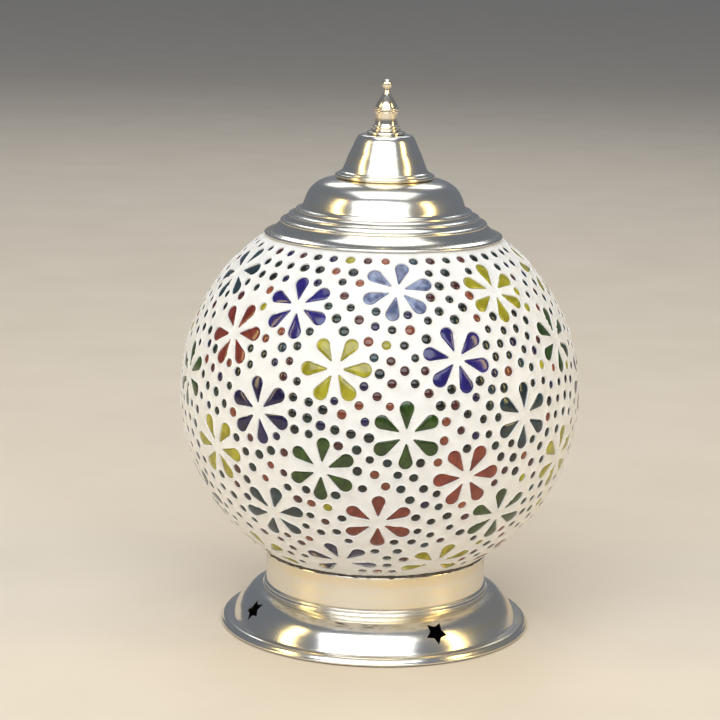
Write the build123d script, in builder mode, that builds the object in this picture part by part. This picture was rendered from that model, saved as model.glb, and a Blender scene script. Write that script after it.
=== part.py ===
from build123d import *
import math
import os
import random

# A mosaic glass table lamp. Origin: centre of the foot, on the table. +Z up, the front faces -Y.
# Radii are measured from the lamp's axis, heights from the table, in millimetres.

# ---- driving dimensions ----------------------------------------------------------------------
GLOBE_D = 200.0        # across the finished mosaic
GLOBE_Z = 120.0        # height of the globe's middle
GLOBE_FLAT = 4.26      # the globe's side is an arc whose centre lies this far off the axis
CHIP_T = 2.0           # thickness of a glass chip
SEAT_GAP = 0.2         # room left between layers of the globe
PLASTER_T = 1.6        # plaster bed under the chips
GLASS_T = 2.5          # wall of the blown globe
MOUTH_R = 42.0         # the globe's upper opening
NECK_R = 38.0          # the globe's lower opening

FLOWER_REACH = 13.0    # flower's centre to the middle of a petal's round end
PETAL_R = 3.3          # a petal's round end
PETAL_TIP = 10.0       # from there to its point
BEAD_R = 2.1
BEAD_ROOMS = (6.9, 8.0)    # each bead keeps a distance between these from the next
TOP_BEADS = 52.3       # highest and lowest tilt where a bead is set, in degrees
LOW_BEADS = -54.6
LOWEST_PETAL = -54.8
TOP_MARGIN = (54.4, 56.4)    # bare plaster between these tilts, at the cap's brim and in the collar
LOW_MARGIN = (-64.0, -56.4)

SHEET = 0.9            # spun brass sheet
RIM_R = 78.2           # foot of the base
RIM_Z = 0.5            # the metal rim stands this clear of the table, on felt
FLANGE_Z = 4.1         # top of the flat flange round the dome
DOME_R = 72.0          # crease where the dome starts
DOME_TOP_R = 58.5
DOME_TOP_Z = 18.6
BASE_HOLE_R = 50.0
STAR_R = 6.0           # point radius of a star vent
STAR_WAIST = 0.54      # its inner corners, as a share of that
STAR_PLACE = (67.6, 12.7, 36)      # radius, height and rise of its plane on the dome
STAR_COUNT = 4
STAR_TURN = 26.5       # first star, degrees round from the front
COVER_Z = 3.0          # upper face of the bottom cover's flange, under the base's
COVER_T = 0.8
INLET_TURN = 161.5     # cord inlet, half way between the two rear stars

COLLAR_R = 55.6
COLLAR_TOP = 38.3
PAN_Z = 31.0           # upper face of the seat pan
PAN_T = 1.0

NIPPLE_R = 5.0         # M10 lamp nipple
NIPPLE_BORE_R = 3.5
NUT_H = 3.2
NUT_FLATS = 14.0
HOLDER_Z = 35.4        # underside of the lampholder
HOLDER_R = 19.5
BULB_Z = 61.9          # tip of the bulb's contact
BULB_R = 30.0
BULB_MID = 138.0

BRIM_R = 59.2          # cap's brim
BRIM_Z = 199.4
SHOULDER_TOP = 227.8
BELL_TOP = 249.4
STUD_R = 2.45          # M5 stud
FINIAL_Z = 251.0
TIP_Z = 276.5

GLOBE_ARC = GLOBE_D / 2 - GLOBE_FLAT
GLASS_OUT = CHIP_T + PLASTER_T + SEAT_GAP
os.makedirs("parts", exist_ok=True)


# ---- helpers ---------------------------------------------------------------------------------
def globe_point(depth, tilt):
    """Radius and height of the point `depth` under the mosaic's face, `tilt` degrees above its middle."""
    arc = GLOBE_ARC - depth
    angle = math.radians(tilt)
    return (GLOBE_FLAT + arc * math.cos(angle), GLOBE_Z + arc * math.sin(angle))


def tilt_of(depth, radius):
    """Tilt at which the surface `depth` under the face has this radius."""
    return math.degrees(math.acos((radius - GLOBE_FLAT) / (GLOBE_ARC - depth)))


def globe_band(outer, inner, low, high):
    """Section of a layer of the globe between two depths and two tilts."""
    middle = (low + high) / 2
    with BuildSketch() as band:
        with BuildLine():
            ThreePointArc(globe_point(outer, low), globe_point(outer, middle), globe_point(outer, high))
            Line(globe_point(outer, high), globe_point(inner, high))
            ThreePointArc(globe_point(inner, high), globe_point(inner, middle), globe_point(inner, low))
            Line(globe_point(inner, low), globe_point(outer, low))
        make_face()
    return band.sketch


def globe_plane(lon, tilt, depth, towards=None):
    """Plane on the globe, its normal outwards and its x towards a point, or east."""
    turn, rise = math.radians(lon), math.radians(tilt)
    normal = Vector(math.cos(rise) * math.sin(turn), -math.cos(rise) * math.cos(turn), math.sin(rise))
    radius, height = globe_point(depth, tilt)
    origin = Vector(radius * math.sin(turn), -radius * math.cos(turn), height)
    east = Vector(math.cos(turn), math.sin(turn), 0)
    if towards is not None:
        east = towards - origin
        east = east - normal * east.dot(normal)
    return Plane(origin=origin, x_dir=east, z_dir=normal)


def neighbour(lon, tilt, bearing, reach):
    """The place `reach` away over the globe; bearing 0 is east and 90 is up."""
    here = globe_plane(lon, tilt, 0)
    angle = reach / GLOBE_ARC
    heading = math.radians(bearing)
    step = here.x_dir * math.cos(heading) + here.y_dir * math.sin(heading)
    normal = here.z_dir * math.cos(angle) + step * math.sin(angle)
    return (math.degrees(math.atan2(normal.X, -normal.Y)), math.degrees(math.asin(normal.Z)))


def save(part, name):
    """Label one finished piece and write its file."""
    part.label = name
    export_step(part, f"parts/{name}.step")


# ---- base: one spun shell with four star vents -----------------------------------------------
def on_base(turn, radius, height, rise):
    """Plane on the dome, `turn` degrees round from the front, its normal `rise` degrees up."""
    angle, lift = math.radians(turn), math.radians(rise)
    outward = Vector(math.sin(angle), -math.cos(angle), 0)
    return Plane(
        origin=outward * radius + Vector(0, 0, height),
        x_dir=Vector(math.cos(angle), math.sin(angle), 0),
        z_dir=outward * math.cos(lift) + Vector(0, 0, math.sin(lift)),
    )


def star_points(radius, points=5):
    """Corners of a star with one point downwards."""
    corners = []
    for i in range(2 * points):
        reach = radius if i % 2 == 0 else radius * STAR_WAIST
        angle = math.radians(-90 + 180 * i / points)
        corners.append((reach * math.cos(angle), reach * math.sin(angle)))
    return corners


star_planes = [on_base(STAR_TURN + 90 * i, *STAR_PLACE) for i in range(STAR_COUNT)]
inlet_plane = on_base(INLET_TURN, 69.3, 10.0, 28)

with BuildPart() as base_shell:
    with BuildSketch(Plane.XZ):
        with BuildLine():
            Line((RIM_R, RIM_Z), (RIM_R, 1.5))
            ThreePointArc((RIM_R, 1.5), (77.4, 3.1), (75.6, 3.9))
            Line((75.6, 3.9), (DOME_R, FLANGE_Z))
            ThreePointArc((DOME_R, FLANGE_Z), (67.9, 12.4), (DOME_TOP_R, DOME_TOP_Z))
            Line((DOME_TOP_R, DOME_TOP_Z), (BASE_HOLE_R, DOME_TOP_Z))
            offset(amount=SHEET, side=Side.LEFT)
        make_face()
    revolve(axis=Axis.Z)
    with BuildSketch(*star_planes):
        with BuildLine():
            Polyline(*star_points(STAR_R), close=True)
        make_face()
    extrude(amount=6, both=True, mode=Mode.SUBTRACT)
    with BuildSketch(inlet_plane):
        Circle(3.7)
    extrude(amount=6, both=True, mode=Mode.SUBTRACT)
save(base_shell.part, "base_shell")


with BuildPart() as cord_grommet:
    with BuildSketch(inlet_plane.offset(-3.4)):
        Circle(3.6)
    extrude(amount=5.1)
    for height in (-3.4, 0.25):
        with BuildSketch(inlet_plane.offset(height)):
            Circle(5.0)
        extrude(amount=1.5)
    with BuildSketch(inlet_plane.offset(-5)):
        Circle(2.7)
    extrude(amount=10, mode=Mode.SUBTRACT)
save(cord_grommet.part, "cord_grommet")

with BuildPart() as bottom_cover:
    with BuildSketch(Plane.XZ):
        with BuildLine():
            Line((74.8, COVER_Z), (22, COVER_Z))
            Line((22, COVER_Z), (17, 9.0))
            Line((17, 9.0), (NIPPLE_R + 0.2, 9.0))
            offset(amount=COVER_T, side=Side.LEFT)
        make_face()
    revolve(axis=Axis.Z)
    with BuildSketch(Plane.XY):
        with PolarLocations(44, 8):
            Circle(4)
    extrude(amount=12, mode=Mode.SUBTRACT)
save(bottom_cover.part, "bottom_cover")

with BuildPart() as felt_ring:
    with BuildSketch():
        Circle(74.5)
        Circle(54, mode=Mode.SUBTRACT)
    extrude(amount=COVER_Z - COVER_T)
save(felt_ring.part, "felt_ring")

# ---- collar that carries the globe, and the pan inside it ------------------------------------
with BuildPart() as globe_collar:
    with BuildSketch(Plane.XZ):
        with Locations(((2 * COLLAR_R - SHEET) / 2, (DOME_TOP_Z + COLLAR_TOP) / 2)):
            Rectangle(SHEET, COLLAR_TOP - DOME_TOP_Z)
        with Locations((COLLAR_R + 0.3, DOME_TOP_Z + 0.75), (COLLAR_R, DOME_TOP_Z + 2.3)):
            Circle(0.75)
        with Locations((COLLAR_R, COLLAR_TOP - 0.6)):
            Circle(0.6)
    revolve(axis=Axis.Z)
save(globe_collar.part, "globe_collar")

PAN_R = COLLAR_R - SHEET
with BuildPart() as seat_pan:
    with BuildSketch(Plane.XZ):
        with BuildLine():
            Line((PAN_R, PAN_Z - 7), (PAN_R, PAN_Z))
            Line((PAN_R, PAN_Z), (NIPPLE_R + 0.2, PAN_Z))
            offset(amount=PAN_T, side=Side.LEFT)
        make_face()
    revolve(axis=Axis.Z)
    with BuildSketch(Plane.XY.offset(PAN_Z - PAN_T - 1)):
        with PolarLocations(27, 6):
            Circle(6)
        with Locations((0, 42)):
            Circle(2.1)
    extrude(amount=PAN_T + 2, mode=Mode.SUBTRACT)
save(seat_pan.part, "seat_pan")

with BuildPart() as cement_ring:
    cement_top = PAN_Z + 6.0
    face_arc = GLOBE_ARC + SEAT_GAP
    top_tilt = -math.degrees(math.asin((GLOBE_Z - cement_top) / face_arc))
    foot_tilt = -tilt_of(-SEAT_GAP, 46.8)
    with BuildSketch(Plane.XZ):
        with BuildLine():
            ThreePointArc(
                globe_point(-SEAT_GAP, foot_tilt),
                globe_point(-SEAT_GAP, (foot_tilt + top_tilt) / 2),
                globe_point(-SEAT_GAP, top_tilt),
            )
            Polyline(
                globe_point(-SEAT_GAP, top_tilt),
                (PAN_R, cement_top),
                (PAN_R, PAN_Z),
                (46.8, PAN_Z),
                globe_point(-SEAT_GAP, foot_tilt),
            )
        make_face()
    revolve(axis=Axis.Z)
save(cement_ring.part, "cement_ring")

# ---- nipple, nuts and washers ----------------------------------------------------------------
with BuildPart() as lamp_nipple:
    with BuildSketch(Plane.XY.offset(4.2)):
        Circle(NIPPLE_R)
        Circle(NIPPLE_BORE_R, mode=Mode.SUBTRACT)
    extrude(amount=37)
save(lamp_nipple.part, "lamp_nipple")

nut_floors = (9.0 - 0.8 - NUT_H, PAN_Z - PAN_T - NUT_H, PAN_Z + 1.0)
with BuildPart() as nipple_nuts:
    for floor in nut_floors:
        with BuildSketch(Plane.XY.offset(floor)):
            RegularPolygon(NUT_FLATS / 2, 6, major_radius=False)
            Circle(NIPPLE_R, mode=Mode.SUBTRACT)
        extrude(amount=NUT_H)
save(nipple_nuts.part, "nipple_nuts")

with BuildPart() as nipple_washer:
    with BuildSketch(Plane.XY.offset(PAN_Z)):
        Circle(11)
        Circle(NIPPLE_R, mode=Mode.SUBTRACT)
    extrude(amount=1.0)
save(nipple_washer.part, "nipple_washer")

with BuildPart() as earth_terminal:
    with BuildSketch(Plane.XY.offset(PAN_Z - 9)):
        with Locations((0, 42)):
            Circle(2.0)
    extrude(amount=11)
    with BuildSketch(Plane.XY.offset(PAN_Z)):
        with Locations((0, 42)):
            Circle(3.5)
    extrude(amount=2.6)
    with BuildSketch(Plane.XY.offset(PAN_Z - PAN_T - 4.2)):
        with Locations((0, 42)):
            RegularPolygon(3.5, 6, major_radius=False)
    extrude(amount=3.2)
    with BuildSketch(Plane.XY.offset(PAN_Z - PAN_T - 1.0)):
        with Locations((0, 42)):
            Circle(4.5)
    extrude(amount=1.0)
save(earth_terminal.part, "earth_terminal")

# ---- lampholder ------------------------------------------------------------------------------
SLEEVE_Z = HOLDER_Z + 11.6
SLEEVE_TOP = SLEEVE_Z + 37.0
CORE_Z = SLEEVE_Z + 3.0
CORE_H = 10.5
CONTACT_R = 14.2

with BuildPart() as holder_cap:
    with BuildSketch(Plane.XZ):
        with BuildLine():
            Line((HOLDER_R, SLEEVE_Z), (HOLDER_R, SLEEVE_Z - 3))
            ThreePointArc((HOLDER_R, SLEEVE_Z - 3), (16.2, HOLDER_Z + 3.4), (9.5, HOLDER_Z + 1.2))
            Polyline((9.5, HOLDER_Z + 1.2), (8.4, HOLDER_Z), (NIPPLE_R + 0.05, HOLDER_Z))
            Polyline((NIPPLE_R + 0.05, HOLDER_Z), (NIPPLE_R + 0.05, HOLDER_Z + 6.5), (9.0, HOLDER_Z + 6.5))
            Line((9.0, HOLDER_Z + 6.5), (9.0, HOLDER_Z + 3.6))
            ThreePointArc((9.0, HOLDER_Z + 3.6), (14.6, HOLDER_Z + 5.4), (17.5, SLEEVE_Z - 3))
            Polyline((17.5, SLEEVE_Z - 3), (17.5, SLEEVE_Z), (HOLDER_R, SLEEVE_Z))
        make_face()
    revolve(axis=Axis.Z)
save(holder_cap.part, "holder_cap")

with BuildPart() as holder_sleeve:
    with BuildSketch(Plane.XZ):
        with BuildLine():
            Polyline(
                (HOLDER_R, SLEEVE_Z),
                (HOLDER_R, SLEEVE_TOP),
                (CONTACT_R + 0.3, SLEEVE_TOP),
                (CONTACT_R + 0.3, SLEEVE_TOP - 1.6),
                (17.5, SLEEVE_TOP - 1.6),
                (17.5, SLEEVE_Z),
                close=True,
            )
        make_face()
        for step in range(3):
            with Locations((HOLDER_R, SLEEVE_Z + 2 + 1.6 * step)):
                Circle(0.5)
    revolve(axis=Axis.Z)
save(holder_sleeve.part, "holder_sleeve")

with BuildPart() as holder_core:
    with BuildSketch(Plane.XY.offset(CORE_Z)):
        Circle(17.2)
        with PolarLocations(12, 2, start_angle=90):
            Circle(1.6, mode=Mode.SUBTRACT)
    extrude(amount=CORE_H)
save(holder_core.part, "holder_core")

with BuildPart() as screw_contact:
    with BuildSketch(Plane.XZ):
        with BuildLine():
            Line((CONTACT_R, SLEEVE_TOP - 2), (CONTACT_R, CORE_Z + CORE_H))
            Line((CONTACT_R, CORE_Z + CORE_H), (11.8, CORE_Z + CORE_H))
            offset(amount=0.5, side=Side.RIGHT)
        make_face()
    revolve(axis=Axis.Z)
save(screw_contact.part, "screw_contact")

with BuildPart() as centre_contact:
    with BuildSketch(Plane.XZ):
        with BuildLine():
            Line((-9, CORE_Z + CORE_H), (-3, CORE_Z + CORE_H))
            Line((-3, CORE_Z + CORE_H), (3, BULB_Z - 0.9))
            offset(amount=0.5, side=Side.LEFT)
        make_face()
    extrude(amount=2.5, both=True)
save(centre_contact.part, "centre_contact")

with BuildPart() as terminal_screws:
    for side in (-10, 10):
        with BuildSketch(Plane.XY.offset(CORE_Z - 2.0)):
            with Locations((side, 0)):
                Circle(2.6)
                Rectangle(6, 0.8, mode=Mode.SUBTRACT)
        extrude(amount=1.0)
        with BuildSketch(Plane.XY.offset(CORE_Z - 1.0)):
            with Locations((side, 0)):
                Circle(2.6)
        extrude(amount=1.0)
save(terminal_screws.part, "terminal_screws")

# ---- lamp bulb -------------------------------------------------------------------------------
with BuildPart() as bulb_glass:
    wall = 0.8
    inner_r = BULB_R - wall
    outer_join = (math.sqrt(BULB_R ** 2 - 12 ** 2), BULB_MID - 12)
    inner_join = (math.sqrt(inner_r ** 2 - 12 ** 2), BULB_MID - 12)
    with BuildSketch(Plane.XZ):
        with BuildLine():
            Line((12.3, 79), (12.3, 87.5))
            ThreePointArc((12.3, 87.5), (18.6, 108), outer_join)
            CenterArc((0, BULB_MID), BULB_R, math.degrees(math.asin(-12 / BULB_R)),
                      90 + math.degrees(math.asin(12 / BULB_R)))
            Line((0, BULB_MID + BULB_R), (0, BULB_MID + inner_r))
            CenterArc((0, BULB_MID), inner_r, math.degrees(math.asin(-12 / inner_r)),
                      90 + math.degrees(math.asin(12 / inner_r)))
            ThreePointArc(inner_join, (17.8, 108), (12.3 - wall, 87.5))
            Polyline((12.3 - wall, 87.5), (12.3 - wall, 79), (12.3, 79))
        make_face()
    revolve(axis=Axis.Z)
save(bulb_glass.part, "bulb_glass")

with BuildPart() as bulb_screw_cap:
    with BuildSketch(Plane.XZ):
        with BuildLine():
            Line((13.2, 87), (13.2, BULB_Z + 4))
            Line((13.2, BULB_Z + 4), (11.2, BULB_Z + 2.2))
            offset(amount=0.5, side=Side.RIGHT)
        make_face()
    revolve(axis=Axis.Z)
save(bulb_screw_cap.part, "bulb_screw_cap")

with BuildPart() as bulb_insulator:
    with BuildSketch(Plane.XZ):
        with BuildLine():
            Polyline((0, BULB_Z + 1), (4.8, BULB_Z + 1), (10.6, BULB_Z + 2.2), (10.6, BULB_Z + 3.4),
                     (0, BULB_Z + 3.4), close=True)
        make_face()
    revolve(axis=Axis.Z)
save(bulb_insulator.part, "bulb_insulator")

with BuildPart() as bulb_contact:
    with BuildSketch(Plane.XY.offset(BULB_Z)):
        Circle(4.6)
    extrude(amount=1.0)
    fillet(bulb_contact.edges().sort_by(Axis.Z)[0], 0.6)
save(bulb_contact.part, "bulb_contact")

with BuildPart() as bulb_stem:
    with BuildSketch(Plane.XZ):
        with BuildLine():
            Polyline((0, 80), (10, 80), (10, 81.5), (5, 90), (3, 100), (2.2, 144), (0, 145), close=True)
        make_face()
    revolve(axis=Axis.Z)
save(bulb_stem.part, "bulb_stem")

with BuildPart() as bulb_filaments:
    with BuildSketch(Plane.XY.offset(108)):
        with PolarLocations(8, 4):
            Circle(0.9)
    extrude(amount=32)
save(bulb_filaments.part, "bulb_filaments")

# ---- globe: blown glass, and the plaster bed round it ----------------------------------------
with BuildPart() as glass_globe:
    glass_in = GLASS_OUT + GLASS_T
    with BuildSketch(Plane.XZ):
        add(globe_band(GLASS_OUT, glass_in, -tilt_of(glass_in, NECK_R), tilt_of(glass_in, MOUTH_R)))
    revolve(axis=Axis.Z)
save(glass_globe.part, "glass_globe")

with BuildPart() as mosaic_plaster:
    bed = CHIP_T + PLASTER_T
    with BuildSketch(Plane.XZ):
        add(globe_band(CHIP_T, bed, LOW_MARGIN[0], 64.0))
        add(globe_band(0, bed, *TOP_MARGIN))
        add(globe_band(0, bed, *LOW_MARGIN))
    revolve(axis=Axis.Z)
save(mosaic_plaster.part, "mosaic_plaster")

# ---- mosaic: flowers of six petals, and beads strewn between them ----------------------------
# Each flower: degrees round from the front, tilt, turn of its first petal, colour of its glass.
FRONT_ROWS = [
    [(-68, 42, 20, "teal"), (-29, 35, 40, "royal"), (5, 42, 18, "smoke"), (43, 40, 28, "olive")],
    [(-50, 24, 10, "red"), (-13, 18, 2, "olive"), (22, 21, 45, "royal"), (65, 22, 24, "green")],
    [(-71, 8, 35, "green"), (-35, 4, 41, "navy"), (7, 0, 30, "green"), (43, 3, 28, "teal")],
    [(-52, -10, 53, "olive"), (-16, -11, 25, "green"), (25, -13, 5, "red"), (63, -13, 27, "olive")],
    [(-34, -28, 10, "teal"), (0, -28, 30, "red"), (40, -28, 40, "green")],
    [(-14, -47, 45, "navy"), (25, -48, 22, "olive")],
]
ROW_PITCH = 38         # wanted degrees between two flowers of a row, round the back
BACK_COLOURS = ["navy", "olive", "red", "green", "royal", "teal", "smoke"]
BEAD_COLOURS = {"black": 30, "bottle": 30, "maroon": 13, "rust": 10, "navy": 9, "teal": 5, "olive": 3}

SWEEPS = 3             # times that the back flowers are settled between the others
TRIES = 40


def globe_spot(lon, tilt, depth=0):
    """The point of the globe there, as plain numbers."""
    radius, height = globe_point(depth, tilt)
    return (radius * math.sin(math.radians(lon)), -radius * math.cos(math.radians(lon)), height)


def elbow_room(place, others):
    """Distance from a place to the nearest of these flowers."""
    return min(math.dist(globe_spot(*place), globe_spot(*flower[:2])) for flower in others)


random.seed(5)
front = [flower for row in FRONT_ROWS for flower in row]
homes = []
for number, row in enumerate(FRONT_ROWS):
    last, first = row[-1][0], row[0][0] + 360
    row_tilt = sum(flower[1] for flower in row) / len(row)
    steps = round((first - last) / ROW_PITCH)
    for i in range(1, steps):
        homes.append((last + (first - last) * i / steps, row_tilt, BACK_COLOURS[(3 * number + i) % len(BACK_COLOURS)]))
back = [(lon, tilt, random.uniform(0, 60), colour) for lon, tilt, colour in homes]
for sweep in range(SWEEPS):
    for k, (lon, tilt, colour) in enumerate(homes):
        others = front + back[:k] + back[k + 1:]
        places = [back[k][:2]]
        places += [(lon + random.uniform(-9, 9), tilt + random.uniform(-3, 3)) for _ in range(TRIES)]
        back[k] = (*max(places, key=lambda place: elbow_room(place, others)), *back[k][2:])
flowers = front + back

with BuildPart() as petal:
    touch_x = PETAL_R ** 2 / PETAL_TIP
    touch_y = PETAL_R * math.sqrt(1 - (PETAL_R / PETAL_TIP) ** 2)
    with BuildSketch():
        with BuildLine():
            Polyline((touch_x, -touch_y), (PETAL_TIP, 0), (touch_x, touch_y))
            ThreePointArc((touch_x, touch_y), (-PETAL_R, 0), (touch_x, -touch_y))
        make_face()
    extrude(amount=CHIP_T)

with BuildPart() as bead:
    with BuildSketch():
        Circle(BEAD_R)
    extrude(amount=CHIP_T)
    chamfer(bead.edges().sort_by(Axis.Z)[-1], 0.7)

petal_planes = {}
keep_clear = []        # points that beads keep away from, with the distance
for lon, tilt, turn, colour in flowers:
    middle = globe_plane(lon, tilt, 0).origin
    keep_clear.append((globe_spot(lon, tilt), 13.0))
    for bearing in range(0, 360, 60):
        tip_lon, tip_tilt = neighbour(lon, tilt, turn + bearing, FLOWER_REACH + PETAL_R)
        if tip_tilt < LOWEST_PETAL:
            continue
        place = neighbour(lon, tilt, turn + bearing, FLOWER_REACH)
        plane = globe_plane(*place, CHIP_T - SEAT_GAP, towards=middle)
        petal_planes.setdefault(colour, []).append(plane)
        keep_clear.append((globe_spot(*place), PETAL_R + BEAD_R + 1.7))
        keep_clear.append((globe_spot(*neighbour(lon, tilt, turn + bearing, 7.0)), 5.6))

for colour, planes in petal_planes.items():
    with BuildPart() as petal_group:
        with Locations(*planes):
            add(petal.part)
    save(petal_group.part, f"petals_{colour}")

# beads in rings from the top down, each set where there is room
RING_STEP = 0.9        # degrees between two rings of places to try
TRY_STEP = 1.2         # millimetres between two places of a ring
bead_planes = {}
set_beads = []         # each bead's point and the room it keeps
tilt = TOP_BEADS
while tilt > LOW_BEADS:
    radius, height = globe_point(0, tilt)
    clear = [(spot, room) for spot, room in keep_clear if abs(spot[2] - height) < room]
    tries = round(2 * math.pi * radius / TRY_STEP)
    start = random.uniform(0, 360)
    for i in range(tries):
        lon = start + 360 * i / tries
        here = globe_spot(lon, tilt)
        if any(math.dist(here, spot) < room for spot, room in clear):
            continue
        if any(abs(spot[2] - height) < room and math.dist(here, spot) < room for spot, room in set_beads):
            continue
        set_beads.append((here, random.uniform(*BEAD_ROOMS)))
        colour = random.choices(list(BEAD_COLOURS), BEAD_COLOURS.values())[0]
        bead_planes.setdefault(colour, []).append(globe_plane(lon, tilt, CHIP_T - SEAT_GAP))
    tilt -= RING_STEP

for colour, planes in bead_planes.items():
    with BuildPart() as bead_group:
        with Locations(*planes):
            add(bead.part)
    save(bead_group.part, f"beads_{colour}")
print(len(flowers), "flowers,", len(set_beads), "beads")

# ---- cap: skirt, inner ring, bell, washer and stud -------------------------------------------
with BuildPart() as cap_skirt:
    with BuildSketch(Plane.XZ):
        with BuildLine():
            Line((BRIM_R, BRIM_Z), (BRIM_R, BRIM_Z + 0.6))
            ThreePointArc((BRIM_R, BRIM_Z + 0.6), (55.2, 201.9), (50.9, 205.4))
            Polyline((50.9, 205.4), (50.2, 206.8), (46.9, 208.4), (46.3, 209.9), (43.4, 211.2), (42.4, 212.9))
            Line((42.4, 212.9), (40.6, 214.0))
            ThreePointArc((40.6, 214.0), (37.0, 221.8), (28.0, SHOULDER_TOP - 0.8))
            Line((28.0, SHOULDER_TOP - 0.8), (25.0, SHOULDER_TOP))
            Line((25.0, SHOULDER_TOP), (STUD_R + 0.3, SHOULDER_TOP))
            offset(amount=SHEET, side=Side.LEFT)
        make_face()
    revolve(axis=Axis.Z)
save(cap_skirt.part, "cap_skirt")

with BuildPart() as cap_ring:
    with BuildSketch(Plane.XZ):
        with BuildLine():
            Line((MOUTH_R - 1.6, 197.0), (MOUTH_R - 1.6, 209.55))
            Line((MOUTH_R - 1.6, 209.55), (MOUTH_R + 1.0, 209.55))
            offset(amount=0.8, side=Side.LEFT)
        make_face()
    revolve(axis=Axis.Z)
save(cap_ring.part, "cap_ring")

with BuildPart() as cap_bell:
    with BuildSketch(Plane.XZ):
        with BuildLine():
            Line((22.4, SHOULDER_TOP), (22.4, SHOULDER_TOP + 2.0))
            ThreePointArc((22.4, SHOULDER_TOP + 2.0), (19.0, 236.6), (13.9, BELL_TOP - 1.4))
            ThreePointArc((13.9, BELL_TOP - 1.4), (13.0, BELL_TOP - 0.4), (11.6, BELL_TOP))
            Line((11.6, BELL_TOP), (STUD_R + 0.3, BELL_TOP))
            offset(amount=SHEET, side=Side.LEFT)
        make_face()
        with Locations((23.6, SHOULDER_TOP + 1.1)):
            Circle(1.1)
        with Locations((22.3, SHOULDER_TOP + 2.8)):
            Circle(0.6)
    revolve(axis=Axis.Z)
save(cap_bell.part, "cap_bell")

with BuildPart() as finial_washer:
    with BuildSketch(Plane.XY.offset(BELL_TOP)):
        Circle(9.4)
        Circle(STUD_R, mode=Mode.SUBTRACT)
    extrude(amount=1.5)
    fillet(finial_washer.edges().filter_by(GeomType.CIRCLE).sort_by(SortBy.RADIUS)[-2:], 0.6)
save(finial_washer.part, "finial_washer")

with BuildPart() as finial_stud:
    with BuildSketch(Plane.XY.offset(217)):
        Circle(STUD_R)
    extrude(amount=45)
save(finial_stud.part, "finial_stud")

with BuildPart() as stud_washer:
    with BuildSketch(Plane.XY.offset(SHOULDER_TOP - SHEET - 1.0)):
        Circle(8)
        Circle(STUD_R, mode=Mode.SUBTRACT)
    extrude(amount=1.0)
save(stud_washer.part, "stud_washer")

with BuildPart() as stud_nut:
    with BuildSketch(Plane.XY.offset(SHOULDER_TOP - SHEET - 5.0)):
        RegularPolygon(4, 6, major_radius=False)
        Circle(STUD_R, mode=Mode.SUBTRACT)
    extrude(amount=4.0)
save(stud_nut.part, "stud_nut")

# ---- finial: turned from one bar, drilled for the stud ---------------------------------------
BALL_R = 2.4
with BuildPart() as finial:
    with BuildSketch(Plane.XZ):
        with BuildLine():
            Polyline((0, FINIAL_Z), (7.4, FINIAL_Z), (7.4, FINIAL_Z + 1.1), (6.4, FINIAL_Z + 1.6))
            ThreePointArc((6.4, 252.6), (6.7, 253.2), (5.8, 253.9))
            ThreePointArc((5.8, 253.9), (5.4, 257.0), (5.6, 260.4))
            ThreePointArc((5.6, 260.4), (6.4, 261.8), (5.6, 262.8))
            ThreePointArc((5.6, 262.8), (3.4, 267.0), (1.5, 270.4))
            Polyline((1.5, 270.4), (1.2, TIP_Z - 2 * BALL_R), (0, TIP_Z - 2 * BALL_R), (0, FINIAL_Z))
        make_face()
    revolve(axis=Axis.Z)
    with Locations((0, 0, TIP_Z - BALL_R)):
        Sphere(BALL_R)
    with BuildSketch(Plane.XY.offset(FINIAL_Z)):
        Circle(STUD_R + 0.05)
    extrude(amount=12, mode=Mode.SUBTRACT)
save(finial.part, "finial")
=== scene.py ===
# %% [markdown]
# # A mosaic glass table lamp
# A blown glass globe is covered with hand-cut glass petals and beads, set in white plaster.
# It stands in a spun brass base with four star vents, under a lift-off cap with a turned finial.
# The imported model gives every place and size. This script gives the surfaces their finish.

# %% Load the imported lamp
import math
import random

import bmesh
import bpy
from mathutils import Matrix, Vector, kdtree, noise
from mathutils.geometry import delaunay_2d_cdt


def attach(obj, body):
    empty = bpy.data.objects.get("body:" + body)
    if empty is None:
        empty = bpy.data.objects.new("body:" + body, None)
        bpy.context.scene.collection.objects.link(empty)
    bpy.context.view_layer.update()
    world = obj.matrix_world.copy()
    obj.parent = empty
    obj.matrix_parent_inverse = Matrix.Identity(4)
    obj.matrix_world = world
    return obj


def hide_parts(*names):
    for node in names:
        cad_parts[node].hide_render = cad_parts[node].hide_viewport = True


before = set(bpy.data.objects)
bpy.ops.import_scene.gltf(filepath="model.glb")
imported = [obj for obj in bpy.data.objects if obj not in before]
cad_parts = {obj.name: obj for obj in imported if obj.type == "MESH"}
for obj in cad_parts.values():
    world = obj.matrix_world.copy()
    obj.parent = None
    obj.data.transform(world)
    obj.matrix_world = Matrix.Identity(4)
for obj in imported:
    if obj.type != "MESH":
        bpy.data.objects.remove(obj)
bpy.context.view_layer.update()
MM = 0.001
TURN_STEPS = 144

# %% [markdown]
# ## The camera
# It stands a little above the lamp and looks slightly down, through a long lens.
# A long lens keeps the round globe round. The small roll is a hand-held camera's.

# %% Set the camera
CAMERA_PLACE = (-0.0102, -1.1667, 0.3711)
CAMERA_DOWN = 11.42
CAMERA_ROLL = 1.32
LENS = 118.3

bpy.ops.object.camera_add()
camera = bpy.context.object
camera.name = "view_camera"
camera.data.lens = LENS
camera.data.sensor_width = 36.0
camera.matrix_world = (
    Matrix.Translation(CAMERA_PLACE)
    @ Matrix.Rotation(math.radians(90 - CAMERA_DOWN), 4, "X")
    @ Matrix.Rotation(math.radians(CAMERA_ROLL), 4, "Z")
)
bpy.context.scene.camera = camera
print("camera at", CAMERA_PLACE)

# %% [markdown]
# ## Small tools for the node editor
# A finish is a Principled shader with a few patterns in front of it.
# A value that is the same all over is typed into the shader's own socket, so it survives an export.

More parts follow.
